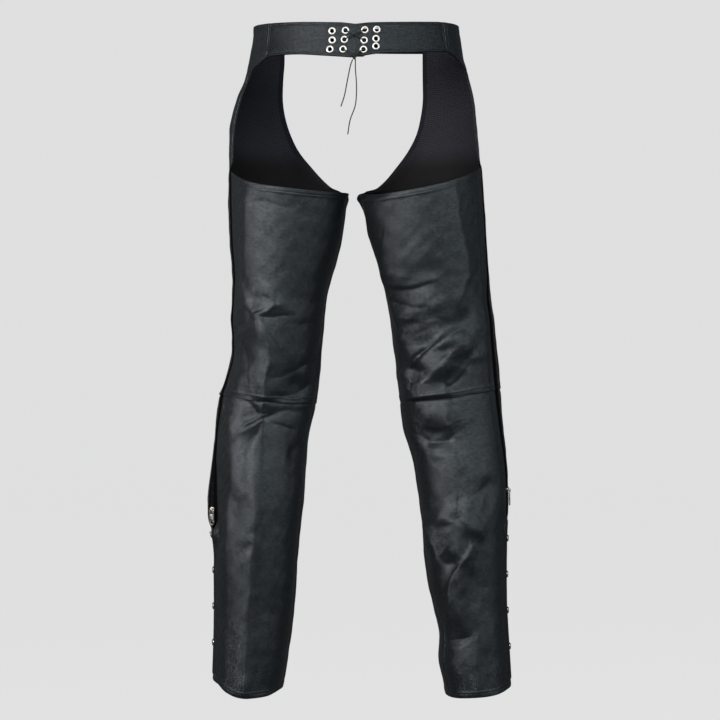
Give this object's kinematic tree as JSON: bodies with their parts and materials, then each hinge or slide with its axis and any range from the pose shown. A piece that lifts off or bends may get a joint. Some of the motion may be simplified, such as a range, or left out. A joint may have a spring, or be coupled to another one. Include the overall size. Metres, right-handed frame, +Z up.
{
  "type": "leather chaps",
  "caption": "Black leather chaps with an open seat, full-length side zips, a buckled front belt and a laced back waistband, in their worn hollow form.",
  "frame": {"origin": "middle of the waist ring, where the wearer's waist holds the chaps up", "axes": "+Z up along the body, +Y the way the wearer faces, +X to the wearer's right"},
  "size_m": [0.481, 0.25, 1.077],
  "materials": {
    "leather": "smooth, black, soft sheen",
    "facing": "smooth, black, matt",
    "lining": "fine black warp-knit mesh",
    "tape": "woven black zip tape with black nylon coil",
    "nickel": "nickel plate",
    "lace": "waxed black round cord"
  },
  "bodies": {
    "chaps": {"back_band_left": "leather", "back_band_right": "leather", "back_calf_left": "leather", "back_calf_right": "leather", "back_thigh_left": "leather", "back_thigh_right": "leather", "buckle_frame": "nickel", "buckle_prong": "nickel", "crotch_facing_left": "facing", "crotch_facing_right": "facing", "eyelet_left_inner_1": "nickel", "eyelet_left_inner_2": "nickel", "eyelet_left_inner_3": "nickel", "eyelet_left_outer_1": "nickel", "eyelet_left_outer_2": "nickel", "eyelet_left_outer_3": "nickel", "eyelet_right_inner_1": "nickel", "eyelet_right_inner_2": "nickel", "eyelet_right_inner_3": "nickel", "eyelet_right_outer_1": "nickel", "eyelet_right_outer_2": "nickel", "eyelet_right_outer_3": "nickel", "front_band_left": "leather", "front_band_right": "leather", "front_shin_left": "leather", "front_shin_right": "leather", "front_thigh_left": "leather", "front_thigh_right": "leather", "lace": "lace", "lace_end_left": "lace", "lace_end_right": "lace", "lace_knot": "lace", "snap_left_1": "nickel", "snap_left_2": "nickel", "snap_left_3": "nickel", "snap_left_4": "nickel", "snap_placket_left": "leather", "snap_placket_right": "leather", "snap_right_1": "nickel", "snap_right_2": "nickel", "snap_right_3": "nickel", "snap_right_4": "nickel", "thigh_lining_left": "lining", "thigh_lining_right": "lining", "zip_slider_left": "nickel", "zip_slider_right": "nickel", "zip_tape_left": "tape", "zip_tape_right": "tape"},
    "pull_left": {"zip_pull_left": "nickel"},
    "pull_right": {"zip_pull_right": "nickel"}
  },
  "joints": [
    {"name": "zip_pull_left", "type": "hinge", "parent": "chaps", "child": "pull_left", "pos_m": [-0.22615, -0.04327, -0.74725], "axis": [-0.919, 0.393, 0.0303], "range_deg": [0, 150]},
    {"name": "zip_pull_right", "type": "hinge", "parent": "chaps", "child": "pull_right", "pos_m": [0.24405, -0.02997, -0.71588], "axis": [-0.233, -0.9725, 0.006], "range_deg": [0, 150]}
  ]
}
